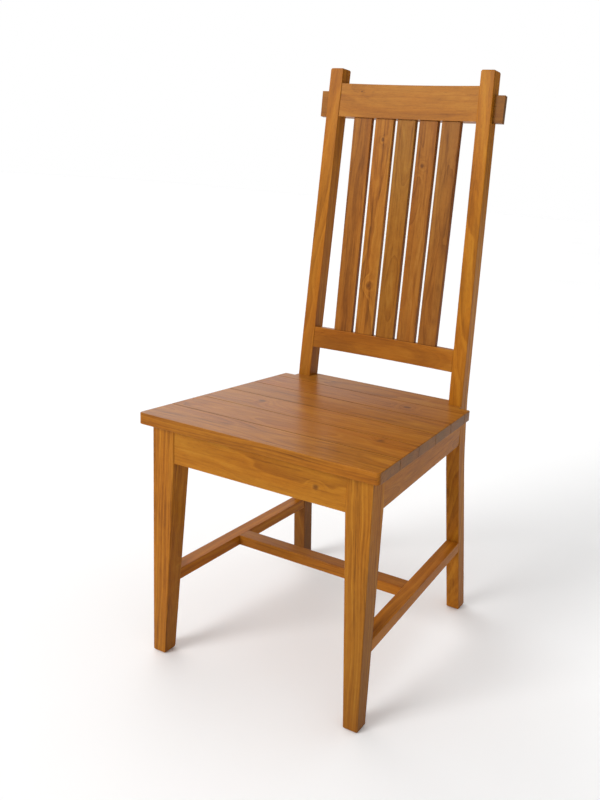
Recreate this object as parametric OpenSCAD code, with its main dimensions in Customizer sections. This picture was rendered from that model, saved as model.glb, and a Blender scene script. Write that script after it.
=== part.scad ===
// Slat-back dining chair in solid timber, built as separate mortised and tenoned pieces.
// Axes: X to the chair's right as seen from the front, Y to the back, Z up. The floor is Z = 0.
// Depths along Y are counted from the front face of the front legs.

/* [Overall] */
// Height of the rear posts above the floor
overall_h = 1082; // [890:1:1300]
// Height of the seat's top face above the floor
seat_h = 454; // [400:1:520]
// From the front face of the front legs to the front face of the rear posts, at seat level
frame_depth = 387; // [322:1:470]

/* [Seat] */
// Width of the seat along its front edge
seat_front_w = 466; // [440:1:560]
// Width of the seat where it meets the front faces of the rear posts
seat_rear_w = 427; // [400:1:540]
// Thickness of the seat boards
seat_t = 20; // [14:1:30]
// Overhang of the seat past the front legs
seat_overhang = 15; // [0:1:40]
// From the rear edge of the seat's ears back to the front faces of the posts
ear_step = 12; // [0:1:24]
// Radius of the seat's front corners
seat_corner_r = 6; // [3:1:14]
// Radius of the seat's rear corners
seat_ear_r = 4; // [1:1:8]

/* [Front legs] */
// Width over the two front legs
front_w = 432; // [400:1:520]
// Width of a front leg at the apron
leg_w = 46; // [40:1:60]
// Depth of a front leg at the apron
leg_d = 38; // [34:1:60]
// Width of a front leg at the floor
foot_w = 27; // [22:1:40]
// Depth of a front leg at the floor
foot_d = 26; // [22:1:34]
// Chamfer round the feet
foot_chamfer = 2.5; // [0.5:0.5:4]

/* [Rear posts] */
// Width of a rear post, seen from the front
post_w = 28; // [26:1:40]
// Depth of a rear post, measured level
post_d = 30; // [28:1:44]
// Width over the rear posts at the floor
rear_floor_w = 420; // [390:1:460]
// Width over the rear posts at the bend above the seat
rear_seat_w = 380; // [370:1:420]
// Width over the rear posts at the top
rear_top_w = 353; // [330:1:400]
// How far the foot of a rear post kicks back
post_kick = 40; // [0:1:80]
// How far the top of a rear post rakes back
post_rake = 50; // [20:1:110]
// Height of the upper bend above the seat
bend_above_seat = 8; // [2:1:20]
// Depth of the lower bend below the seat
knee_below_seat = 112; // [100:1:140]
// Length over which each bend is eased
bend_ease = 40; // [10:1:44]
// Chamfer round the post tops
top_chamfer = 2; // [0.5:0.5:4]

/* [Aprons] */
// Thickness of the aprons
apron_t = 20; // [16:1:24]
// Height of the front apron
front_apron_h = 63; // [50:1:80]
// Height of the side and rear aprons
side_apron_h = 59; // [50:1:76]
// How far the apron faces sit behind the faces of the legs
apron_setback = 1; // [0:0.5:4]
// How far the rear apron sits behind the front faces of the posts
rear_apron_setback = 2; // [1:0.5:6]

/* [Stretchers] */
// Width of a side stretcher, seen from above
stretcher_w = 27; // [20:1:27]
// Height of a side stretcher
stretcher_h = 21; // [16:1:34]
// Height of the middle of a side stretcher above the floor at the front leg
stretcher_z = 143; // [100:1:220]
// Rise of a side stretcher towards the back
stretcher_rise = 7; // [0:1:14]
// Width of the cross stretcher, seen from above
cross_w = 28; // [18:1:36]
// Height of the cross stretcher
cross_h = 20; // [14:1:21]
// From the front face of the front legs to the middle of the cross stretcher
cross_y = 209; // [120:1:300]

/* [Back] */
// Drop from the post tops to the top edge of the crest rail
crest_drop = 29; // [10:1:60]
// Height of the crest rail
crest_h = 64; // [50:1:90]
// Thickness of the crest rail
crest_t = 22; // [20:1:24]
// Length of the tenon that stands out past each post
ear_len = 21; // [5:1:40]
// Height of the shoulder above the through tenon
ear_drop = 14; // [4:1:24]
// Thickness of the through tenon
ear_t = 11; // [8:1:14]
// From the front face of the post to the front of the through tenon
ear_setback = 10; // [8:0.5:10]
// Gap between the seat and the lower back rail
lower_rail_gap = 63; // [30:1:120]
// Height of the lower back rail
lower_rail_h = 43; // [30:1:60]
// Thickness of the lower back rail
lower_rail_t = 20; // [16:1:24]
// How far the two back rails bow back between the posts
rail_bow = 7; // [4:1:20]
// How far the ends of the back rails sit behind the faces of the posts
rail_setback = 1; // [0:0.5:3]
// Number of back slats
// Width of a slat
slat_w = 40; // [20:1:42]
// Thickness of a slat
slat_t = 11; // [8:0.5:13]
// Spacing of the slats, middle to middle
slat_pitch = 48.4; // [44:0.2:50]
// How far the slats sit behind the front of the rails
slat_setback = 3; // [2:0.5:5]

/* [Joints] */
// Thickness of the apron and rail tenons
tenon_t = 8; // [6:1:10]
// Length of the front apron's tenons
front_tenon_len = 22; // [12:1:24]
// Length of the side aprons', side stretchers' and lower rail's tenons
side_tenon_len = 16; // [10:1:18]
// Length of the rear apron's tenons
rear_tenon_len = 11; // [8:1:12]
// Shoulder above and below each tenon
shoulder = 3; // [2:0.5:5]
// Shoulder on each edge and each face of a slat's tenon
slat_shoulder = 2; // [1:0.5:3]
// Length of a slat's tenons
slat_tenon_len = 12; // [8:1:18]
// Clearance between a tenon and each side of its mortise
fit_gap = 0.1; // [0.05:0.05:0.3]
// Clearance past the end of a blind tenon
end_gap = 1; // [0.5:0.5:2]

/* [Corner blocks and seat cleats] */
// Length of a corner block's sides along the aprons
block_leg = 62; // [56:1:66]
// Height of a corner block
block_h = 24; // [14:1:30]
// Gap between the corner blocks and the cleats above them
block_drop = 2; // [1:1:6]
// Width of a cleat
cleat_w = 18; // [14:1:20]
// Height of a cleat
cleat_h = 18; // [14:1:22]

/* [Screws] */
// Shank diameter of the wood screws
screw_d = 4; // [3:0.5:5]
// Head diameter of the wood screws
screw_head_d = 8; // [6:0.5:9]
// How far each screw bites into the piece that it pulls up to
screw_bite = 12; // [8:1:13]
// Depth of a screw's head below the face of a corner block
block_grip = 18; // [14:1:20]
// Clearance round a screw
screw_gap = 0.1; // [0.05:0.05:0.3]
// Width of each arm of the cross recess in a screw's head
drive_w = 1; // [0.6:0.1:1.2]
// Depth of the cross recess
drive_depth = 1.6; // [0.8:0.1:1.8]

/* [Hidden] */
LEFT = -1;
RIGHT = 1;
BIG = 2000;
RECESS = 60;
BOARDS = 6;
SLATS = 5;
CLEAT_SCREW_SHARES = [-0.7, 0, 0.7];
BOARD_SCREW_SHARE = 0.35;
ROUND = 48;
LARGE_ROUND = 720;
BEND_STEPS = 8;
CORNER_STEPS = 8;
honey = [0.72, 0.45, 0.19];
amber = [0.66, 0.39, 0.15];
toffee = [0.60, 0.35, 0.14];
pale = [0.78, 0.60, 0.38];
steel = [0.62, 0.63, 0.65];

// Heights
under_seat = seat_h - seat_t;
front_apron_z = under_seat - front_apron_h;
side_apron_z = under_seat - side_apron_h;
bend_z = seat_h + bend_above_seat;
knee_z = seat_h - knee_below_seat;

// Depths
rake = atan(post_rake / (overall_h - bend_z));
post_back = frame_depth + post_d;
seat_front_y = -seat_overhang;
board_w = (post_back + seat_overhang) / BOARDS;
// Half widths over the rear posts at a height
function between(a, b, t) = a + (b - a) * t;
function post_half(z) = z < bend_z
    ? between(rear_floor_w, rear_seat_w, z / bend_z) / 2
    : between(rear_seat_w, rear_top_w, (z - bend_z) / (overall_h - bend_z)) / 2;

// Front face of a rear post at a height, before the bends are eased
function post_y(z) = z < knee_z
    ? frame_depth + post_kick * (1 - z / knee_z)
    : z < bend_z ? frame_depth : frame_depth + (z - bend_z) * tan(rake);

// Width and depth of a front leg at a height
function leg_share(z) = min(1, z / front_apron_z);
function leg_width(z) = between(foot_w, leg_w, leg_share(z));
function leg_depth(z) = between(foot_d, leg_d, leg_share(z));

// A path's corner eased into a curve that starts and ends a set distance from it
function unit(v) = v / norm(v);
function eased(before, corner, after, reach) = [
    for (i = [0:BEND_STEPS])
        let (
            t = i / BEND_STEPS,
            a = corner + unit(before - corner) * reach,
            b = corner + unit(after - corner) * reach
        )
        a * (1 - t) * (1 - t) + corner * 2 * t * (1 - t) + b * t * t
];

// A corner of an outline, rounded by an arc that touches both of its edges
function rounded(before, corner, after, r) =
    let (
        u = unit(before - corner),
        v = unit(after - corner),
        half = acos(u * v) / 2,
        centre = corner + unit(u + v) * r / sin(half),
        start = corner + u * r / tan(half) - centre,
        end = corner + v * r / tan(half) - centre,
        turn = 180 - 2 * half
    )
    [
        for (i = [0:CORNER_STEPS])
            let (t = i / CORNER_STEPS)
            centre + (start * sin((1 - t) * turn) + end * sin(t * turn)) / sin(turn)
    ];

// The side frames: each runs from a front leg to a rear post, and narrows to the back
apron_front_x = front_w / 2 - apron_setback;
apron_rear_x = post_half(side_apron_z + side_apron_h / 2);
side_angle = atan((apron_front_x - apron_rear_x) / (frame_depth - leg_d));
side_run = (frame_depth - leg_d) / cos(side_angle);
stretcher_rear_z = stretcher_z + stretcher_rise;
stretcher_front = [front_w / 2, leg_depth(stretcher_z), stretcher_z];
stretcher_rear = [post_half(stretcher_rear_z), post_y(stretcher_rear_z), stretcher_rear_z];
stretcher_run = stretcher_rear - stretcher_front;
stretcher_turn = atan2(-stretcher_run[0], stretcher_run[1]);
stretcher_tilt = atan2(stretcher_run[2], stretcher_run[1]);
stretcher_length = norm(stretcher_run);
cross_share = (cross_y - stretcher_front[1]) / stretcher_run[1];
cross_half = between(stretcher_front[0], stretcher_rear[0], cross_share)
    - stretcher_w / cos(stretcher_turn);
cross_top = between(stretcher_front[2], stretcher_rear[2], cross_share) + stretcher_h / 2;

// The back, in its own leaning frame: Y out of the posts' front plane, Z up along the posts
lean_scale = cos(rake);
crest_top = (overall_h - crest_drop - bend_z) / lean_scale;
crest_bottom = crest_top - crest_h;
lower_bottom = (seat_h + lower_rail_gap - bend_z) / lean_scale;
lower_top = lower_bottom + lower_rail_h;
rail_half = (rear_seat_w + rear_top_w) / 4 - post_w;
rail_r = (rail_half * rail_half + rail_bow * rail_bow) / (2 * rail_bow);
slat_r = rail_r + slat_setback;

// The middle of the chair, front to back, from the seat's front edge to whichever piece reaches back furthest
crest_out = rail_setback + rail_bow + crest_t;
rearmost = max(
    post_back + post_kick - foot_chamfer * post_kick / knee_z,
    post_back + post_rake - top_chamfer * tan(rake),
    frame_depth + crest_top * sin(rake) + crest_out * cos(rake)
);
middle_y = (seat_front_y + rearmost) / 2;

// Half width of the seat at a depth
function seat_half(y) =
    between(seat_front_w, seat_rear_w, (y - seat_front_y) / (frame_depth - seat_front_y)) / 2;

// Corner blocks, cleats and screws
block_top = under_seat - cleat_h - block_drop;
inner_front_y = apron_setback + apron_t;
inner_rear_y = frame_depth + rear_apron_setback;
function inner_x(y) = apron_front_x - (y - leg_d) * tan(side_angle) - apron_t / cos(side_angle);
front_cleat_half = front_w / 2 - leg_w - fit_gap;
cleat_start = fit_gap + (apron_t + cleat_w) * tan(side_angle);
cleat_end = side_run - fit_gap;
head_h = (screw_head_d - screw_d) / 2;
head_rim = 0.5;
drive_l = screw_head_d / 2;

module place() {
    translate([0, -middle_y, 0]) children();
}

module mirrored(side) {
    if (side == RIGHT) children();
    else mirror([1, 0, 0]) children();
}

// An outline drawn across X and Z, given a depth along Y
module front_profile(points, from, to) {
    translate([0, to, 0]) rotate([90, 0, 0]) linear_extrude(to - from) polygon(points);
}

// An outline drawn across Y and Z, given a width along X
module side_profile(points, from, to) {
    translate([from, 0, 0]) rotate([90, 0, 90]) linear_extrude(to - from) polygon(points);
}

// A box between two corners
module box(low, high) {
    translate(low) cube(high - low);
}

// A tenon's box, or its mortise when grown by the clearance on every side
module grown(low, high, gap) {
    margin = [gap, gap, gap];
    box(low - margin, high + margin);
}

// ---- right-hand front leg ----
module leg_blank() {
    out = front_w / 2;
    c = foot_chamfer;
    intersection() {
        front_profile([
            [out - foot_w + c, 0], [out - c, 0], [out, c], [out, under_seat],
            [out - leg_w, under_seat], [out - leg_w, front_apron_z], [out - leg_width(c), c]
        ], -1, leg_d + 1);
        side_profile([
            [c, 0], [foot_d - c, 0], [leg_depth(c), c], [leg_d, front_apron_z],
            [leg_d, under_seat], [0, under_seat], [0, c]
        ], out - leg_w - 1, out + 1);
    }
}

module front_leg() {
    color(amber) {
        difference() {
            leg_blank();
            front_apron_tenon(fit_gap, end_gap);
            side_apron_frame() side_apron_tenon_front(fit_gap, end_gap);
            stretcher_frame() stretcher_tenon_front(fit_gap, end_gap);
        }
    }
}

// ---- right-hand rear post ----
module post_blank() {
    foot = [post_y(0), 0];
    knee = [frame_depth, knee_z];
    bend = [frame_depth, bend_z];
    top = [frame_depth + post_rake, overall_h];
    bends = concat(eased(foot, knee, bend, bend_ease), eased(knee, bend, top, bend_ease));
    deep = [post_d, 0];
    c = foot_chamfer;
    t = top_chamfer;
    foot_slope = post_kick / knee_z;
    top_slope = tan(rake);
    front = concat(
        [foot + [c, 0], foot + [-c * foot_slope, c]],
        bends,
        [top + [-t * top_slope, -t], top + [t, 0]]
    );
    back = concat(
        [top + deep + [-t, 0], top + deep + [-t * top_slope, -t]],
        [for (i = [len(bends) - 1:-1:0]) bends[i] + deep],
        [foot + deep + [-c * foot_slope, c], foot + deep + [-c, 0]]
    );
    floor_x = rear_floor_w / 2;
    seat_x = rear_seat_w / 2;
    top_x = rear_top_w / 2;
    intersection() {
        side_profile(concat(front, back), 0, BIG);
        front_profile([
            [floor_x - c, 0], [post_half(c), c], [seat_x, bend_z], [post_half(overall_h - t), overall_h - t],
            [top_x - t, overall_h], [top_x - post_w + t, overall_h],
            [post_half(overall_h - t) - post_w, overall_h - t], [seat_x - post_w, bend_z],
            [post_half(c) - post_w, c], [floor_x - post_w + c, 0]
        ], 0, BIG);
    }
}

module rear_post() {
    color(amber) {
        difference() {
            post_blank();
            side_apron_frame() side_apron_tenon_rear(fit_gap, end_gap);
            stretcher_frame() stretcher_tenon_rear(fit_gap, end_gap);
            rear_apron_tenon(fit_gap, end_gap);
            back_frame() crest_tenon(fit_gap);
            back_frame() lower_rail_tenon(fit_gap, end_gap);
        }
    }
}

// ---- aprons ----
module front_apron_tenon(gap, end) {
    x = front_w / 2 - leg_w;
    y = apron_setback + (apron_t - tenon_t) / 2;
    grown(
        [x - 1, y, front_apron_z + shoulder],
        [x + front_tenon_len + end, y + tenon_t, under_seat - shoulder],
        gap
    );
}

module front_apron() {
    color(honey) {
        half = front_w / 2 - leg_w;
        difference() {
            box([-half, apron_setback, front_apron_z], [half, inner_front_y, under_seat]);
            front_cleat_screws(screw_gap);
            for (side = [LEFT, RIGHT]) mirrored(side) block_screws(inner_front_y, 1, screw_gap);
        }
        for (side = [LEFT, RIGHT]) mirrored(side) front_apron_tenon(0, 0);
    }
}

module rear_apron_tenon(gap, end) {
    x = post_half(under_seat) - post_w;
    y = inner_rear_y + (apron_t - tenon_t) / 2;
    grown(
        [x - 1, y, side_apron_z + shoulder],
        [x + rear_tenon_len + end, y + tenon_t, under_seat - shoulder],
        gap
    );
}

module rear_apron() {
    color(toffee) {
        difference() {
            box(
                [-rear_seat_w / 2, inner_rear_y, side_apron_z],
                [rear_seat_w / 2, inner_rear_y + apron_t, under_seat]
            );
            for (side = [LEFT, RIGHT]) mirrored(side) {
                post_outside();
                block_screws(inner_rear_y, -1, screw_gap);
            }
        }
        for (side = [LEFT, RIGHT]) mirrored(side) rear_apron_tenon(0, 0);
    }
}

// Everything past the inner face of the right-hand post
module post_outside() {
    front_profile([
        [post_half(0) - post_w, 0], [rear_seat_w / 2 - post_w, bend_z],
        [rear_top_w / 2 - post_w, overall_h], [BIG, overall_h], [BIG, 0]
    ], 0, BIG);
}

// The right-hand side frame: Y runs along the apron from the back of the front leg, X = 0 is its outer face
module side_apron_frame() {
    translate([apron_front_x, leg_d, 0]) rotate([0, 0, side_angle]) children();
}

module side_apron_tenon_front(gap, end) {
    x = -(apron_t + tenon_t) / 2;
    grown(
        [x, -side_tenon_len - end, side_apron_z + shoulder],
        [x + tenon_t, apron_t, under_seat - shoulder],
        gap
    );
}

module side_apron_tenon_rear(gap, end) {
    x = -(apron_t + tenon_t) / 2;
    grown(
        [x, side_run - apron_t, side_apron_z + shoulder],
        [x + tenon_t, side_run + side_tenon_len + end, under_seat - shoulder],
        gap
    );
}

module side_apron() {
    color(amber) {
        difference() {
            side_apron_frame() box([-apron_t, -apron_t, side_apron_z], [0, side_run + apron_t, under_seat]);
            box([0, -BIG, 0], [BIG, leg_d, overall_h]);
            box([0, frame_depth, 0], [BIG, BIG, overall_h]);
            side_cleat_screws(screw_gap);
            block_screws(inner_front_y, 1, screw_gap);
            block_screws(inner_rear_y, -1, screw_gap);
        }
        side_apron_frame() {
            side_apron_tenon_front(0, 0);
            side_apron_tenon_rear(0, 0);
        }
    }
}

// ---- stretchers ----
// The right-hand side stretcher: Y runs along it, X = 0 is its outer face, Z = 0 its middle
module stretcher_frame() {
    translate(stretcher_front) rotate([stretcher_tilt, 0, stretcher_turn]) children();
}

module stretcher_tenon_front(gap, end) {
    x = -(stretcher_w + tenon_t) / 2;
    z = stretcher_h / 2 - shoulder;
    grown([x, -side_tenon_len - end, -z], [x + tenon_t, stretcher_h, z], gap);
}

module stretcher_tenon_rear(gap, end) {
    x = -(stretcher_w + tenon_t) / 2;
    z = stretcher_h / 2 - shoulder;
    grown(
        [x, stretcher_length - stretcher_h, -z],
        [x + tenon_t, stretcher_length + side_tenon_len + end, z],
        gap
    );
}

module cross_tenon(gap, end) {
    z = cross_top - cross_h / 2;
    half_z = cross_h / 2 - shoulder;
    grown(
        [cross_half - stretcher_w, cross_y - tenon_t, z - half_z],
        [cross_half + side_tenon_len + end, cross_y + tenon_t, z + half_z],
        gap
    );
}

module side_stretcher() {
    color(toffee) {
        difference() {
            stretcher_frame() box(
                [-stretcher_w, -stretcher_h, -stretcher_h / 2],
                [0, stretcher_length + stretcher_h, stretcher_h / 2]
            );
            side_profile([
                [-BIG, 0], [leg_depth(0), 0], [leg_d, front_apron_z], [leg_d, under_seat], [-BIG, under_seat]
            ], 0, BIG);
            side_profile([
                [post_y(0), 0], [frame_depth, knee_z], [frame_depth, under_seat], [BIG, under_seat], [BIG, 0]
            ], 0, BIG);
            cross_tenon(fit_gap, end_gap);
        }
        stretcher_frame() {
            stretcher_tenon_front(0, 0);
            stretcher_tenon_rear(0, 0);
        }
    }
}

module cross_stretcher() {
    color(toffee) {
        difference() {
            box(
                [-front_w / 2, cross_y - cross_w / 2, cross_top - cross_h],
                [front_w / 2, cross_y + cross_w / 2, cross_top]
            );
            for (side = [LEFT, RIGHT]) mirrored(side) stretcher_frame()
                box([-stretcher_w, 0, -BIG], [BIG, stretcher_length, BIG]);
        }
        for (side = [LEFT, RIGHT]) mirrored(side) cross_tenon(0, 0);
    }
}

// ---- back ----
module back_frame() {
    translate([0, frame_depth, bend_z]) rotate([-rake, 0, 0]) children();
}

// A bar that bows back between the posts
module bowed_bar(thickness, low, high) {
    centre = rail_setback + rail_bow - rail_r;
    translate([0, 0, low]) linear_extrude(high - low) intersection() {
        translate([0, centre]) difference() {
            circle(rail_r + thickness, $fn = LARGE_ROUND);
            circle(rail_r, $fn = LARGE_ROUND);
        }
        translate([-rear_seat_w / 2, -post_d]) square([rear_seat_w, 3 * post_d]);
    }
}

module crest_tenon(gap) {
    x = rear_top_w / 2 - post_w;
    low = crest_bottom;
    high = crest_top - ear_drop;
    out = post_half(bend_z + high * lean_scale) + ear_len;
    grown([x - 1, ear_setback, low], [out, ear_setback + ear_t, high], gap);
}

module crest_rail() {
    color(honey) {
        difference() {
            back_frame() bowed_bar(crest_t, crest_bottom, crest_top);
            for (side = [LEFT, RIGHT]) mirrored(side) post_outside();
            back_frame() slat_tenons(fit_gap, end_gap);
        }
        for (side = [LEFT, RIGHT]) mirrored(side) back_frame() crest_tenon(0);
    }
}

module lower_rail_tenon(gap, end) {
    x = post_half(bend_z + lower_top) - post_w;
    y = rail_setback + (lower_rail_t - tenon_t) / 2;
    grown(
        [x - 1, y, lower_bottom + shoulder],
        [x + side_tenon_len + end, y + tenon_t, lower_top - shoulder],
        gap
    );
}

module lower_back_rail() {
    color(honey) {
        difference() {
            back_frame() bowed_bar(lower_rail_t, lower_bottom, lower_top);
            for (side = [LEFT, RIGHT]) mirrored(side) post_outside();
            back_frame() slat_tenons(fit_gap, end_gap);
        }
        for (side = [LEFT, RIGHT]) mirrored(side) back_frame() lower_rail_tenon(0, 0);
    }
}

// Stands a slat's shapes on the bow of the rails
module slat_place(index) {
    turn = asin((index - (SLATS - 1) / 2) * slat_pitch / slat_r);
    translate([0, rail_setback + rail_bow - rail_r, 0]) rotate([0, 0, -turn])
        translate([0, slat_r, 0]) children();
}

module slat_tenon(gap, end) {
    half = slat_w / 2 - slat_shoulder;
    low = lower_top - slat_tenon_len - end;
    high = crest_bottom + slat_tenon_len + end;
    grown([-half, slat_shoulder, low], [half, slat_t - slat_shoulder, high], gap);
}

module slat_tenons(gap, end) {
    for (i = [0:SLATS - 1]) slat_place(i) slat_tenon(gap, end);
}

module back_slat(index) {
    color(honey) {
        back_frame() slat_place(index) {
            box([-slat_w / 2, 0, lower_top], [slat_w / 2, slat_t, crest_bottom]);
            slat_tenon(0, 0);
        }
    }
}

// ---- seat ----
// Outline of the whole seat, with the rear corners cut round the posts
module seat_outline() {
    front_half = seat_half(seat_front_y);
    ear_y = frame_depth - ear_step;
    front = [front_half, seat_front_y];
    ear = [seat_half(ear_y), ear_y];
    far = [-front_half, seat_front_y];
    step_x = post_half(under_seat);
    notch_x = post_half(seat_h) - post_w - fit_gap;
    right = concat(
        rounded(far, front, ear, seat_corner_r),
        rounded(front, ear, [0, ear_y], seat_ear_r),
        [[step_x, ear_y], [step_x, frame_depth], [notch_x, frame_depth], [notch_x, post_back]]
    );
    left = [for (i = [len(right) - 1:-1:0]) [-right[i][0], right[i][1]]];
    polygon(concat(right, left));
}

module seat_board(index) {
    color(honey) {
        from = seat_front_y + index * board_w;
        difference() {
            translate([0, 0, under_seat]) linear_extrude(seat_t) intersection() {
                seat_outline();
                translate([-BIG / 2, from]) square([BIG, board_w]);
            }
            for (side = [LEFT, RIGHT]) mirrored(side) seat_screw(index, screw_gap);
        }
    }
}

// ---- corner blocks and cleats ----
// The triangle of the right-hand front or rear corner block, before it is cut round the leg
module block_blank(corner_y, way) {
    corner = [inner_x(corner_y), corner_y];
    end_y = corner_y + way * block_leg;
    translate([0, 0, block_top - block_h]) linear_extrude(block_h)
        polygon([corner, corner - [block_leg, 0], [inner_x(end_y), end_y]]);
}

module front_block() {
    color(pale) {
        difference() {
            block_blank(inner_front_y, 1);
            box([front_w / 2 - leg_w - fit_gap, -BIG, 0], [BIG, leg_d + fit_gap, overall_h]);
            block_screws(inner_front_y, 1, screw_gap);
        }
    }
}

module rear_block() {
    color(pale) {
        difference() {
            block_blank(inner_rear_y, -1);
            box([post_half(block_top) - post_w - fit_gap, frame_depth - fit_gap, 0], [BIG, BIG, overall_h]);
            block_screws(inner_rear_y, -1, screw_gap);
        }
    }
}

// Right-hand cleat, along the inner face of the side apron
module side_cleat() {
    color(pale) {
        difference() {
            side_apron_frame() box(
                [-apron_t - cleat_w, cleat_start, under_seat - cleat_h],
                [-apron_t, cleat_end, under_seat]
            );
            side_cleat_screws(screw_gap);
            for (i = [1:BOARDS - 1]) seat_screw(i, screw_gap);
        }
    }
}

module front_cleat() {
    color(pale) {
        difference() {
            box(
                [-front_cleat_half, inner_front_y, under_seat - cleat_h],
                [front_cleat_half, inner_front_y + cleat_w, under_seat]
            );
            front_cleat_screws(screw_gap);
            for (side = [LEFT, RIGHT]) mirrored(side) seat_screw(0, screw_gap);
        }
    }
}

// ---- screws ----
// A countersunk wood screw that points along +Z from its head's face; a gap makes its hole, open at the head
module wood_screw(length, gap) {
    across = screw_d + 2 * gap;
    head = screw_head_d + 2 * gap;
    tip = screw_d;
    difference() {
        rotate_extrude($fn = ROUND) polygon([
            [0, gap == 0 ? 0 : -RECESS], [head / 2, gap == 0 ? 0 : -RECESS], [head / 2, head_rim],
            [across / 2, head_rim + head_h], [across / 2, length - tip], [0, length + gap]
        ]);
        if (gap == 0)
            for (turn = [0, 90]) rotate([0, 0, turn]) translate([-drive_l / 2, -drive_w / 2, -RECESS])
                cube([drive_l, drive_w, drive_depth + RECESS]);
    }
}

// The two screws of a right-hand corner block: into the front or rear apron, and into the side apron
module block_screws(corner_y, way, gap) {
    along = block_leg - block_grip - screw_head_d / 2 - head_rim;
    z = block_top - block_h / 2;
    length = block_grip + screw_bite;
    translate([inner_x(corner_y) - along, corner_y + way * block_grip, z]) rotate([way * 90, 0, 0])
        wood_screw(length, gap);
    side_apron_frame() translate([
        -apron_t - block_grip,
        (corner_y + way * along - leg_d) / cos(side_angle),
        z
    ]) rotate([0, 90, 0]) wood_screw(length, gap);
}

// The screws of a side cleat stand on the seams of the seat, clear of the seat's own screws
module side_cleat_screws(gap) {
    for (i = [2:BOARDS - 1])
        side_apron_frame() translate([
            -apron_t - cleat_w,
            (seat_front_y + i * board_w - leg_d) / cos(side_angle),
            under_seat - cleat_h / 2
        ]) rotate([0, 90, 0]) wood_screw(cleat_w + screw_bite, gap);
}

module front_cleat_screws(gap) {
    for (share = CLEAT_SCREW_SHARES)
        translate([share * front_cleat_half, inner_front_y + cleat_w, under_seat - cleat_h / 2])
            rotate([90, 0, 0]) wood_screw(cleat_w + screw_bite, gap);
}

// The screw that holds the right-hand end of a seat board, up through a cleat
module seat_screw(index, gap) {
    middle = seat_front_y + (index + 0.5) * board_w;
    last = frame_depth - cleat_w / 2;
    y = index == 0 ? inner_front_y + cleat_w / 2 : min(middle, last);
    x = index == 0 ? BOARD_SCREW_SHARE * front_cleat_half : inner_x(y) - cleat_w / 2;
    translate([x, y, under_seat - cleat_h]) wood_screw(cleat_h + screw_bite, gap);
}

module corner_block_screws() {
    color(steel) {
        for (side = [LEFT, RIGHT]) mirrored(side) {
            block_screws(inner_front_y, 1, 0);
            block_screws(inner_rear_y, -1, 0);
        }
    }
}

module cleat_screws() {
    color(steel) {
        front_cleat_screws(0);
        for (side = [LEFT, RIGHT]) mirrored(side) side_cleat_screws(0);
    }
}

module seat_screws() {
    color(steel) {
        for (side = [LEFT, RIGHT]) mirrored(side)
            for (i = [0:BOARDS - 1]) seat_screw(i, 0);
    }
}

place() mirrored(LEFT) front_leg();  // front_leg_left
place() front_leg();  // front_leg_right
place() mirrored(LEFT) rear_post();  // rear_post_left
place() rear_post();  // rear_post_right
place() front_apron();
place() rear_apron();
place() mirrored(LEFT) side_apron();  // side_apron_left
place() side_apron();  // side_apron_right
place() mirrored(LEFT) side_stretcher();  // side_stretcher_left
place() side_stretcher();  // side_stretcher_right
place() cross_stretcher();
place() crest_rail();
place() lower_back_rail();
place() back_slat(0);  // back_slat_1
place() back_slat(1);  // back_slat_2
place() back_slat(2);  // back_slat_3
place() back_slat(3);  // back_slat_4
place() back_slat(4);  // back_slat_5
place() seat_board(0);  // seat_board_1
place() seat_board(1);  // seat_board_2
place() seat_board(2);  // seat_board_3
place() seat_board(3);  // seat_board_4
place() seat_board(4);  // seat_board_5
place() seat_board(5);  // seat_board_6
place() mirrored(LEFT) front_block();  // corner_block_front_left
place() front_block();  // corner_block_front_right
place() mirrored(LEFT) rear_block();  // corner_block_rear_left
place() rear_block();  // corner_block_rear_right
place() mirrored(LEFT) side_cleat();  // seat_cleat_left
place() side_cleat();  // seat_cleat_right
place() front_cleat();  // seat_cleat_front
place() corner_block_screws();
place() cleat_screws();
place() seat_screws();
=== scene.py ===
"""Looks of a slat-back dining chair: eased arrises, lacquered and bare timber, and zinc plated screws."""

import math
import random

import bpy
import numpy as np
from mathutils import Matrix, Vector


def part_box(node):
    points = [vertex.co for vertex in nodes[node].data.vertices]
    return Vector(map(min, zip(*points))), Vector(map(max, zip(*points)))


MM = 0.001
UP = Vector((0, 0, 1))
FRONT = Vector((0, -1, 0))
RIGHT = Vector((1, 0, 0))

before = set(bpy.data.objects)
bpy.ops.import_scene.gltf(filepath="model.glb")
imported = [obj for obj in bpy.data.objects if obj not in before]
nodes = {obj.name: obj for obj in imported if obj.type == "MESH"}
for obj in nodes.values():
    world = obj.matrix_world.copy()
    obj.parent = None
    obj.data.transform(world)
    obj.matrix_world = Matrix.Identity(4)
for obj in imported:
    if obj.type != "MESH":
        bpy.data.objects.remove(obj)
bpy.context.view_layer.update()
seat_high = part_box("seat_board_1")[1]
front_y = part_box("front_leg_right")[0].y


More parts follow.
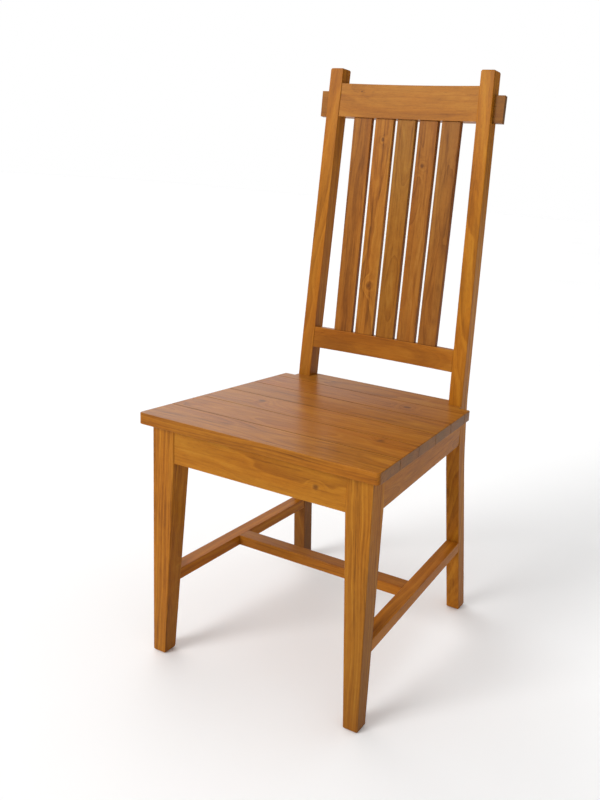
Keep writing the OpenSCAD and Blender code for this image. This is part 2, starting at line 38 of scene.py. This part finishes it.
# ---- building materials ----
class Graph:
    """A small builder for the nodes of one material."""

    def __init__(self, name):
        self.material = bpy.data.materials.new(name)
        self.material.use_nodes = True
        self.tree = self.material.node_tree
        self.tree.nodes.clear()
        self.output = self.tree.nodes.new("ShaderNodeOutputMaterial")

    def put(self, socket, value):
        if isinstance(value, bpy.types.NodeSocket):
            self.tree.links.new(value, socket)
        else:
            socket.default_value = value

    def node(self, kind, inputs=None, **settings):
        made = self.tree.nodes.new(kind)
        for key, value in settings.items():
            setattr(made, key, value)
        for key, value in (inputs or {}).items():
            self.put(made.inputs[key], value)
        return made

    def maths(self, operation, a, b=0.0, clamp=False):
        return self.node("ShaderNodeMath", {0: a, 1: b}, operation=operation, use_clamp=clamp).outputs[0]

    def vector(self, operation, a, b=(0.0, 0.0, 0.0)):
        made = self.node("ShaderNodeVectorMath", {0: a, 1: b}, operation=operation)
        scalar = operation in ("LENGTH", "DOT_PRODUCT")
        return made.outputs["Value" if scalar else "Vector"]

    def noise(self, at, detail=2.0, roughness=0.5):
        inputs = {"Vector": at, "Scale": 1.0, "Detail": detail, "Roughness": roughness}
        return self.node("ShaderNodeTexNoise", inputs).outputs[0]

    def line_noise(self, at, detail=2.0, roughness=0.5):
        inputs = {"W": at, "Scale": 1.0, "Detail": detail, "Roughness": roughness}
        return self.node("ShaderNodeTexNoise", inputs, noise_dimensions="1D").outputs[0]

    def ramp(self, fac, stops):
        made = self.node("ShaderNodeValToRGB", {"Fac": fac})
        elements = made.color_ramp.elements
        while len(elements) < len(stops):
            elements.new(0.5)
        for element, (place, colour) in zip(elements, stops):
            element.position = place
            element.color = (*colour, 1.0)
        return made.outputs["Color"]

    def span(self, value, low, high, to_low=0.0, to_high=1.0):
        inputs = {"Value": value, "From Min": low, "From Max": high, "To Min": to_low, "To Max": to_high}
        return self.node("ShaderNodeMapRange", inputs).outputs["Result"]

    def mix(self, fac, a, b, blend="MIX"):
        made = self.node("ShaderNodeMix", data_type="RGBA", blend_type=blend)
        self.put(made.inputs[0], fac)
        for key, value in ((6, a), (7, b)):
            colour = value if isinstance(value, bpy.types.NodeSocket) else (*value, 1.0)
            self.put(made.inputs[key], colour)
        return made.outputs[2]

    def finish(self, shader):
        self.tree.links.new(shader.outputs[0], self.output.inputs["Surface"])
        return self.material


# ---- timber ----
REDDER = (1.0, 0.84, 0.62)
# Dark colour mixed in as painted shade toward the floor and at the shaded ends of a piece
PAINTED_SHADE = (0.06, 0.02, 0.005)
PORE = (0.12, 0.045, 0.012)
KNOT = (0.105, 0.036, 0.010)
# Dark colour in the seat board joints: dirt and painted shade in the groove
SEAM = (0.050, 0.018, 0.006)
END_GRAIN = (0.135, 0.078, 0.042)
END_MM = 26
END_BLUR_MM = 8


def grain_frame(name, face):
    """Middle and axes of a piece: X along its length, Z out of its main face."""
    points = np.array([v.co for v in nodes[name].data.vertices], float)
    middle = (points.min(0) + points.max(0)) / 2
    spread = points - points.mean(0)
    values, vectors = np.linalg.eigh(spread.T @ spread)
    along = Vector(vectors[:, int(np.argmax(values))])
    if along.dot(Vector((1, 1, 1))) < 0:
        along = -along
    out = (face - along * face.dot(along)).normalized()
    across = out.cross(along)
    return Vector(middle), Matrix((along, across, out)).transposed()


class Timber(Graph):
    """The material of one piece of timber, worked out in the piece's own grain frame."""

    def __init__(self, name, face, rng):
        super().__init__("timber_" + name)
        self.middle, self.axes = grain_frame(name, face)
        self.half_length = max((v.co - self.middle).dot(self.axes.col[0]) for v in nodes[name].data.vertices)
        coordinates = self.node("ShaderNodeTexCoord")
        self.place = coordinates.outputs["Object"]
        self.normal = coordinates.outputs["Normal"]
        inputs = {"Vector": self.place, "Location": self.middle, "Rotation": self.axes.to_euler()}
        self.local = self.node("ShaderNodeMapping", inputs, vector_type="TEXTURE").outputs[0]
        self.shifted = self.vector("ADD", self.local, [rng.uniform(-5, 5) for _ in range(3)])

    def stretched(self, along, across, detail=2.0, roughness=0.5):
        """Noise with so many waves to the metre along the grain and across it."""
        return self.noise(self.vector("MULTIPLY", self.shifted, (along, across, across)), detail, roughness)

    def wander(self, along, across, reach):
        """A length that wanders up to reach mm either way."""
        return self.span(self.stretched(along, across), 0.0, 1.0, -reach * MM, reach * MM)

    def trunk(self, pith, turn):
        """Distance from a pith that lies pith mm behind the face, turned about the length."""
        angle = math.radians(turn)
        centre = (0.0, math.sin(angle) * pith * MM, -math.cos(angle) * pith * MM)
        radial = self.vector("MULTIPLY", self.vector("SUBTRACT", self.local, centre), (0.0, 1.0, 1.0))
        radius = self.maths("ADD", self.vector("LENGTH", radial), self.wander(2.6, 9.0, reach=16))
        return self.maths("ADD", radius, self.wander(14.0, 40.0, reach=1.5))

    def knot(self, radius, point, size):
        """The rings swollen round a knot of size mm that comes out at a point, and the knot's own mask."""
        size = size * MM
        heart = self.axes.transposed() @ (Vector(point) - self.middle)
        flat = self.vector("MULTIPLY", self.vector("SUBTRACT", self.local, heart), (0.75, 1.0, 0.0))
        away = self.vector("LENGTH", flat)
        drop = self.maths("MULTIPLY", self.maths("POWER", away, 2.0), -1.0 / (2.2 * size) ** 2)
        swell = self.maths("MULTIPLY", self.maths("EXPONENT", drop), 1.5 * size)
        rough = self.maths("ADD", away, self.wander(90.0, 90.0, reach=3))
        return self.maths("ADD", radius, swell), self.span(rough, 0.35 * size, 1.15 * size, 1.0, 0.0)

    def paint_foot_shade(self, colour, share, reach):
        """Paints shade over the lowest reach mm of the piece, by a share at the floor."""
        rise = self.node("ShaderNodeSeparateXYZ", {0: self.place}).outputs[2]
        return self.mix(self.span(rise, 0.0, reach * MM, share, 0.0), colour, PAINTED_SHADE)

    def paint_end_shade(self, colour, way, share):
        """Paints shade over the last centimetres at one end, with a soft edge."""
        along = self.vector("DOT_PRODUCT", self.local, (way, 0.0, 0.0))
        start = self.half_length - END_MM * MM
        return self.mix(self.span(along, start, start + END_BLUR_MM * MM, 0.0, share), colour, PAINTED_SHADE)

    def seam_dirt_and_shade(self, colour, edge):
        """Dirt and painted shade in the joint along a long edge that lies at this depth."""
        depth = self.node("ShaderNodeSeparateXYZ", {0: self.place}).outputs[1]
        gap = self.maths("ABSOLUTE", self.maths("SUBTRACT", depth, edge))
        return self.mix(self.span(gap, 0.6 * MM, 1.6 * MM, 0.55, 0.0), colour, SEAM)

    def end_grain(self, colour, share):
        """The finish is darker and greyer where it covers end grain."""
        facing = self.vector("DOT_PRODUCT", self.normal, self.axes.col[0])
        end = self.span(self.maths("ABSOLUTE", facing), 0.80, 0.95)
        return self.mix(self.maths("MULTIPLY", end, share), colour, END_GRAIN)


def wood(name, face, rng, palette, tint=(1.0, 1.0, 1.0), foot_shade=None, ends=(), seams=(), pith=60.0, turn=0.0,
         spacing=5.0, contrast=1.0, knots=(), gloss=True):
    """Solid timber cut from round a pith that lies pith mm behind the face, turned about the length.

    spacing is the mean growth ring in mm. tint multiplies the palette. foot_shade is the
    (share, height in mm) of painted shade toward the floor. ends lists the (way, share) of painted shade at
    one end, where way is -1 or 1 along the length. seams lists the long edges that get dirt and painted shade
    in the joint, -1 for the front one and 1 for the back one.
    knots lists the (point, radius) of the knots that come out through the face.
    """
    timber = Timber(name, face, rng)
    maths = timber.maths
    stretched = timber.stretched

    radius = timber.trunk(pith, turn)
    cores = []
    for point, size in knots:
        radius, core = timber.knot(radius, point, size)
        cores.append(core)
    count = maths("MULTIPLY", radius, 1.0 / (spacing * MM))
    bands = timber.line_noise(count, detail=3.0, roughness=0.65)
    late = maths("POWER", maths("FRACT", count), 4.0)
    streaks = stretched(along=3.0, across=55.0, detail=4.0, roughness=0.6)
    figure = timber.span(stretched(along=7.0, across=190.0, detail=3.0, roughness=0.6), 0.52, 0.72)
    fibres = stretched(along=22.0, across=620.0, detail=3.0, roughness=0.6)
    pores = timber.span(stretched(along=95.0, across=1500.0, detail=1.0), 0.60, 0.74)
    clouds = stretched(along=6.0, across=16.0, detail=3.0)
    mottle = stretched(along=42.0, across=95.0, detail=3.0, roughness=0.6)
    redder = timber.span(stretched(along=4.0, across=30.0, detail=3.0), 0.42, 0.66, 0.0, 0.55)

    # The place in the palette: these layers swing it either way, then late wood and figure darken it
    value = 0.62
    swings = (
        (bands, 1.05 * contrast),
        (streaks, 0.60 * contrast),
        (mottle, 0.34 * contrast),
        (clouds, 0.50),
        (fibres, 0.42),
    )
    for layer, share in swings:
        value = maths("ADD", value, maths("MULTIPLY", maths("SUBTRACT", layer, 0.5), share))
    value = maths("SUBTRACT", value, maths("MULTIPLY", late, 0.20 * contrast))
    value = maths("SUBTRACT", value, maths("MULTIPLY", figure, 0.34 * contrast), clamp=True)

    colour = timber.ramp(value, palette)
    colour = timber.mix(redder, colour, REDDER, blend="MULTIPLY")
    colour = timber.mix(1.0, colour, tint, blend="MULTIPLY")
    # Painted shade: darker toward the floor
    if foot_shade:
        colour = timber.paint_foot_shade(colour, *foot_shade)
    # Painted shade at the listed ends of the piece
    for way, share in ends:
        colour = timber.paint_end_shade(colour, way, share)
    colour = timber.mix(maths("MULTIPLY", pores, 0.40), colour, PORE)
    for core in cores:
        colour = timber.mix(maths("MULTIPLY", core, 0.72), colour, KNOT)
    # Dirt and painted shade in the joints between the seat boards
    for way in seams:
        low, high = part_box(name)
        colour = timber.seam_dirt_and_shade(colour, high.y if way > 0 else low.y)
    colour = timber.end_grain(colour, timber.span(clouds, 0.35, 0.65, 0.35, 0.75))

    height = maths("SUBTRACT", maths("MULTIPLY", fibres, 0.5), maths("MULTIPLY", pores, 0.7))
    bump_inputs = {"Strength": 0.16 if gloss else 0.5, "Distance": 0.4 * MM, "Height": height}
    bump = timber.node("ShaderNodeBump", bump_inputs)
    uneven = maths("ADD", maths("MULTIPLY", clouds, 0.16), maths("MULTIPLY", fibres, 0.12))
    surface = {
        "Base Color": colour,
        "Roughness": maths("ADD", uneven, 0.28 if gloss else 0.62),
        "Normal": bump.outputs[0],
        "Coat Weight": 0.33 if gloss else 0.0,
        "Coat Roughness": 0.26,
        "Coat IOR": 1.25,
        "Specular IOR Level": 0.02 if gloss else 0.25,
    }
    return timber.finish(timber.node("ShaderNodeBsdfPrincipled", surface))


# Colours from the darkest grain to the lightest
HONEY = (
    (0.00, (0.165, 0.060, 0.007)),
    (0.30, (0.290, 0.105, 0.010)),
    (0.60, (0.400, 0.155, 0.013)),
    (1.00, (0.500, 0.225, 0.023)),
)
AMBER = (
    (0.00, (0.145, 0.051, 0.006)),
    (0.30, (0.265, 0.094, 0.009)),
    (0.60, (0.375, 0.141, 0.012)),
    (1.00, (0.470, 0.204, 0.019)),
)
BARE = (
    (0.00, (0.330, 0.190, 0.090)),
    (0.35, (0.450, 0.280, 0.145)),
    (0.60, (0.540, 0.350, 0.190)),
    (1.00, (0.640, 0.450, 0.270)),
)


def seat_spot(x, y):
    """A point on the seat, x mm from its middle and y mm behind the front legs' front."""
    return x * MM, front_y + y * MM, seat_high.z


def spot(name, across, up):
    """A point in the box of an upright piece, as fractions of its width and height."""
    low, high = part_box(name)
    return low.x + across * (high.x - low.x), low.y, low.z + up * (high.z - low.z)


# What pieces of a kind have in common
SEAT = dict(face=UP, palette=HONEY, spacing=7.0, seams=(-1, 1))
APRON = dict(palette=AMBER, spacing=8.0)
LEG = dict(face=FRONT, palette=AMBER, pith=90, contrast=1.05)
POST = dict(face=FRONT, palette=AMBER, spacing=6.0)
STRETCHER = dict(face=UP, palette=AMBER, spacing=6.0, contrast=0.7)
RAIL = dict(face=FRONT, palette=HONEY)
SLAT = dict(face=FRONT, palette=HONEY, spacing=6.0, contrast=1.2)
UNSEEN = dict(face=UP, palette=BARE, gloss=False)

TIMBER = {
    "seat_board_1": dict(SEAT, tint=(0.90, 0.84, 1.00), pith=46, turn=6, seams=(1,)),
    "seat_board_2": dict(SEAT, tint=(0.86, 0.79, 1.00), pith=62, turn=-8, spacing=7.5),
    "seat_board_3": dict(SEAT, tint=(0.89, 0.82, 0.95), pith=70, turn=10),
    "seat_board_4": dict(SEAT, tint=(0.84, 0.79, 0.95), pith=55, turn=-5, spacing=6.5),
    "seat_board_5": dict(SEAT, tint=(0.86, 0.78, 1.00), pith=66, turn=4),
    "seat_board_6": dict(SEAT, tint=(0.82, 0.77, 1.05), pith=52, turn=-9, seams=(-1,)),
    "front_apron": dict(
        APRON,
        face=FRONT,
        palette=HONEY,
        tint=(0.95, 0.92, 0.95),
        pith=75,
        turn=12,
        spacing=9.0,
        contrast=0.8,
    ),
    "rear_apron": dict(APRON, face=-FRONT, tint=(0.92, 0.90, 1.00), pith=60, turn=-12),
    "side_apron_left": dict(APRON, face=-RIGHT, tint=(1.00, 0.95, 1.00), pith=64, turn=8),
    "side_apron_right": dict(APRON, face=RIGHT, tint=(1.06, 1.00, 1.00), pith=70, turn=-10),
    # The legs and posts get painted shade toward the floor, heaviest on the rear left post
    "front_leg_left": dict(LEG, tint=(1.06, 1.05, 1.20), turn=70, spacing=3.6, foot_shade=(0.20, 400)),
    "front_leg_right": dict(LEG, tint=(1.00, 1.00, 1.10), turn=-64, spacing=3.8, foot_shade=(0.42, 400)),
    "rear_post_left": dict(POST, tint=(1.05, 1.01, 1.15), pith=80, turn=24, contrast=0.6, foot_shade=(0.75, 600)),
    "rear_post_right": dict(
        POST,
        tint=(1.05, 1.02, 1.00),
        pith=84,
        turn=-18,
        contrast=0.85,
        foot_shade=(0.12, 450),
    ),
    "side_stretcher_left": dict(STRETCHER, tint=(1.04, 0.96, 0.90), pith=70, turn=30),
    "side_stretcher_right": dict(STRETCHER, tint=(1.04, 0.96, 0.80), pith=70, turn=-34),
    "cross_stretcher": dict(STRETCHER, tint=(0.92, 0.88, 1.05), pith=64, turn=26),
    "crest_rail": dict(
        RAIL,
        # The raised blue in this tint is a painted sheen on the crest's upward-tilted front
        tint=(0.98, 0.98, 1.55),
        pith=110,
        turn=8,
        spacing=10.0,
        contrast=0.7,
        # Painted shade on the ears, heavier on the right one where the post shades it
        ends=((-1, 0.28), (1, 0.50)),
    ),
    "lower_back_rail": dict(RAIL, tint=(0.89, 0.80, 0.95), pith=90, turn=-14, spacing=8.0, contrast=0.8),
    "back_slat_1": dict(SLAT, palette=AMBER, tint=(0.86, 0.82, 1.40), pith=80, turn=30, spacing=7.0),
    "back_slat_2": dict(SLAT, tint=(0.92, 0.90, 1.40), pith=44, turn=4),
    "back_slat_3": dict(SLAT, tint=(0.74, 0.76, 1.20), pith=50, turn=-6),
    "back_slat_4": dict(SLAT, tint=(0.80, 0.76, 1.30), pith=56, turn=10),
    "back_slat_5": dict(SLAT, palette=AMBER, tint=(0.76, 0.78, 1.60), pith=60, turn=-12),
    "corner_block_front_left": dict(UNSEEN),
    "corner_block_front_right": dict(UNSEEN, turn=20),
    "corner_block_rear_left": dict(UNSEEN, turn=-30),
    "corner_block_rear_right": dict(UNSEEN, turn=45),
    "seat_cleat_left": dict(UNSEEN, turn=30),
    "seat_cleat_right": dict(UNSEEN, turn=-30),
    "seat_cleat_front": dict(UNSEEN, turn=10),
}

# The larger knots, each a place on a face and a radius in mm
TIMBER["seat_board_2"]["knots"] = ((seat_spot(164, 112), 7),)
TIMBER["seat_board_3"]["knots"] = ((seat_spot(-120, 172), 7),)
TIMBER["seat_board_5"]["knots"] = ((seat_spot(109, 313), 8),)
TIMBER["front_apron"]["knots"] = ((spot("front_apron", 0.80, 0.45), 5),)
TIMBER["crest_rail"]["knots"] = ((spot("crest_rail", 0.24, 0.78), 2),)
TIMBER["back_slat_2"]["knots"] = ((spot("back_slat_2", 0.5, 0.89), 3), (spot("back_slat_2", 0.5, 0.25), 5))
TIMBER["back_slat_4"]["knots"] = ((spot("back_slat_4", 0.4, 0.79), 4),)


def zinc():
    """Zinc plate on steel, a little patchy."""
    g = Graph("zinc_plate")
    place = g.node("ShaderNodeTexCoord").outputs["Object"]
    patches = g.noise(g.vector("MULTIPLY", place, (700.0, 700.0, 700.0)), detail=4.0)
    colour = g.ramp(patches, ((0.3, (0.42, 0.41, 0.38)), (0.7, (0.66, 0.65, 0.61))))
    bump = g.node("ShaderNodeBump", {"Strength": 0.1, "Distance": 0.1 * MM, "Height": patches})
    surface = {
        "Base Color": colour,
        "Metallic": 1.0,
        "Roughness": g.span(patches, 0.2, 0.8, 0.28, 0.5),
        "Normal": bump.outputs[0],
    }
    return g.finish(g.node("ShaderNodeBsdfPrincipled", surface))


# ---- rounded arrises ----
EASE_MM = {"front_leg": 1.6, "rear_post": 1.6, "seat_board": 1.3, "back_slat": 1.0, "crest": 1.4}
DEFAULT_EASE_MM = 1.0
JOIN_MM = 0.03
SHORTEST_ARRIS_MM = 0.7
ARRIS_DEGREES = 28
FLAT_DEGREES = 0.6


def arris_group():
    """Marks the arrises of a piece for the bevel: sharp edges, but not the rims of the small screw holes."""
    group = bpy.data.node_groups.new("arrises", "GeometryNodeTree")
    group.interface.new_socket("Geometry", in_out="INPUT", socket_type="NodeSocketGeometry")
    group.interface.new_socket("Geometry", in_out="OUTPUT", socket_type="NodeSocketGeometry")
    make = group.nodes.new
    source = make("NodeGroupInput")
    result = make("NodeGroupOutput")
    bend = make("GeometryNodeInputMeshEdgeAngle")
    ends = make("GeometryNodeInputMeshEdgeVertices")
    length = make("ShaderNodeVectorMath")
    length.operation = "DISTANCE"
    sharp = make("ShaderNodeMath")
    sharp.operation = "GREATER_THAN"
    sharp.inputs[1].default_value = math.radians(ARRIS_DEGREES)
    long = make("ShaderNodeMath")
    long.operation = "GREATER_THAN"
    long.inputs[1].default_value = SHORTEST_ARRIS_MM * MM
    both = make("ShaderNodeMath")
    both.operation = "MULTIPLY"
    store = make("GeometryNodeStoreNamedAttribute")
    store.data_type = "FLOAT"
    store.domain = "EDGE"
    store.inputs["Name"].default_value = "bevel_weight_edge"
    link = group.links.new
    link(ends.outputs["Position 1"], length.inputs[0])
    link(ends.outputs["Position 2"], length.inputs[1])
    link(bend.outputs["Unsigned Angle"], sharp.inputs[0])
    link(length.outputs["Value"], long.inputs[0])
    link(sharp.outputs[0], both.inputs[0])
    link(long.outputs[0], both.inputs[1])
    link(both.outputs[0], store.inputs["Value"])
    link(source.outputs[0], store.inputs["Geometry"])
    link(store.outputs["Geometry"], result.inputs[0])
    return group


def join(piece):
    """Merges the doubled corners of the CAD faces."""
    piece.modifiers.new("join", "WELD").merge_threshold = JOIN_MM * MM


def ease(name, piece, arrises):
    """Joins the CAD faces into whole faces, then rounds every arris."""
    radius = next((r for key, r in EASE_MM.items() if name.startswith(key)), DEFAULT_EASE_MM)
    join(piece)
    flat = piece.modifiers.new("faces", "DECIMATE")
    flat.decimate_type = "DISSOLVE"
    flat.angle_limit = math.radians(FLAT_DEGREES)
    piece.modifiers.new("arrises", "NODES").node_group = arrises
    bevel = piece.modifiers.new("arris", "BEVEL")
    bevel.width = radius * MM
    bevel.segments = 3
    bevel.limit_method = "WEIGHT"
    bevel.harden_normals = True
    bevel.use_clamp_overlap = True
    flats = piece.modifiers.new("flats", "WEIGHTED_NORMAL")
    flats.mode = "FACE_AREA"
    flats.weight = 100
    piece.data.shade_smooth()


rng = random.Random(62)
steel = zinc()
arrises = arris_group()
for name in sorted(nodes):
    piece = nodes[name]
    piece.data.materials.clear()
    if name in TIMBER:
        piece.data.materials.append(wood(name, rng=rng, **TIMBER[name]))
        ease(name, piece, arrises)
    else:
        piece.data.materials.append(steel)
        join(piece)

# ---- floor, its half width in metres ----
FLOOR_HALF = 40.0

floor_mesh = bpy.data.meshes.new("studio_floor")
corners = [(x * FLOOR_HALF, y * FLOOR_HALF, 0) for x, y in ((-1, -1), (1, -1), (1, 1), (-1, 1))]
floor_mesh.from_pydata(corners, [], [(0, 1, 2, 3)])
floor = bpy.data.objects.new("studio_floor", floor_mesh)
bpy.context.scene.collection.objects.link(floor)
g = Graph("studio_floor")
patches = g.noise(g.node("ShaderNodeTexCoord").outputs["Object"], detail=3.0)
pale = g.ramp(patches, ((0.3, (0.93, 0.93, 0.93)), (0.7, (0.96, 0.96, 0.96))))
paint = g.node("ShaderNodeBsdfPrincipled", {"Base Color": pale, "Roughness": 0.8})
floor_mesh.materials.append(g.finish(paint))

# ---- light ----
BACK_LEFT = (-0.88, 0.44, 0.18)
KEY_ENERGY = 2.1
KEY_DEGREES = 30
KEY_TRAVEL = (1.5, 2.9, -1.6)


def studio_world(dim, bright, above):
    """A backdrop that is white to look at, and lights the chair from above and from behind it to the left."""
    world = bpy.data.worlds.new("studio")
    world.use_nodes = True
    tree = world.node_tree
    backdrop = tree.nodes["Background"]
    backdrop.inputs["Color"].default_value = (1.0, 1.0, 1.0, 1.0)
    direction = tree.nodes.new("ShaderNodeTexCoord").outputs["Generated"]
    total = tree.nodes.new("ShaderNodeMath")
    parts = ((BACK_LEFT, 0.72, 0.99, dim, bright), (UP, 0.2, 1.0, 0.0, above))
    for number, (toward, start, stop, low, high) in enumerate(parts):
        facing = tree.nodes.new("ShaderNodeVectorMath")
        facing.operation = "DOT_PRODUCT"
        facing.inputs[1].default_value = toward
        tree.links.new(direction, facing.inputs[0])
        level = tree.nodes.new("ShaderNodeMapRange")
        level.interpolation_type = "SMOOTHSTEP"
        for key, value in (("From Min", start), ("From Max", stop), ("To Min", low), ("To Max", high)):
            level.inputs[key].default_value = value
        tree.links.new(facing.outputs["Value"], level.inputs["Value"])
        tree.links.new(level.outputs[0], total.inputs[number])
    seen = tree.nodes.new("ShaderNodeLightPath").outputs["Is Camera Ray"]
    strength = tree.nodes.new("ShaderNodeMix")
    tree.links.new(seen, strength.inputs[0])
    tree.links.new(total.outputs[0], strength.inputs[2])
    strength.inputs[3].default_value = 1.0
    tree.links.new(strength.outputs[0], backdrop.inputs["Strength"])
    bpy.context.scene.world = world


studio_world(dim=0.16, bright=2.6, above=0.80)
bpy.context.scene.view_settings.view_transform = "Standard"
key_data = bpy.data.lights.new("key", "SUN")
key_data.energy = KEY_ENERGY
key_data.angle = math.radians(KEY_DEGREES)
key = bpy.data.objects.new("key", key_data)
key.rotation_euler = Vector(KEY_TRAVEL).to_track_quat("-Z", "Y").to_euler()
bpy.context.scene.collection.objects.link(key)

# ---- camera, placed in mm from the middle of the front legs' front, at the floor ----
CAMERA_PLACE = (703.64, -912.60, 852.88)
CAMERA_TURN = 23.97
CAMERA_DIP = 12.78
CAMERA_ROLL = -4.73
FOCAL_MM = 33.56
SENSOR_MM = 36.0
SHIFT = (-0.1682, -0.0460)

turn, dip, roll = (math.radians(v) for v in (CAMERA_TURN, CAMERA_DIP, CAMERA_ROLL))
ahead = Vector((-math.sin(turn) * math.cos(dip), math.cos(turn) * math.cos(dip), -math.sin(dip)))
level = Vector((math.cos(turn), math.sin(turn), 0.0))
down = ahead.cross(level)
side = level * math.cos(roll) + down * math.sin(roll)
below = down * math.cos(roll) - level * math.sin(roll)
lens = bpy.data.cameras.new("photo_view")
lens.lens = FOCAL_MM
lens.sensor_width = SENSOR_MM
lens.shift_x, lens.shift_y = SHIFT
lens.clip_start = 0.05
camera = bpy.data.objects.new("photo_view", lens)
x, y, z = (v * MM for v in CAMERA_PLACE)
aim = Matrix((side, -below, -ahead)).transposed().to_4x4()
camera.matrix_world = Matrix.Translation((x, front_y + y, z)) @ aim
bpy.context.scene.collection.objects.link(camera)
bpy.context.scene.camera = camera
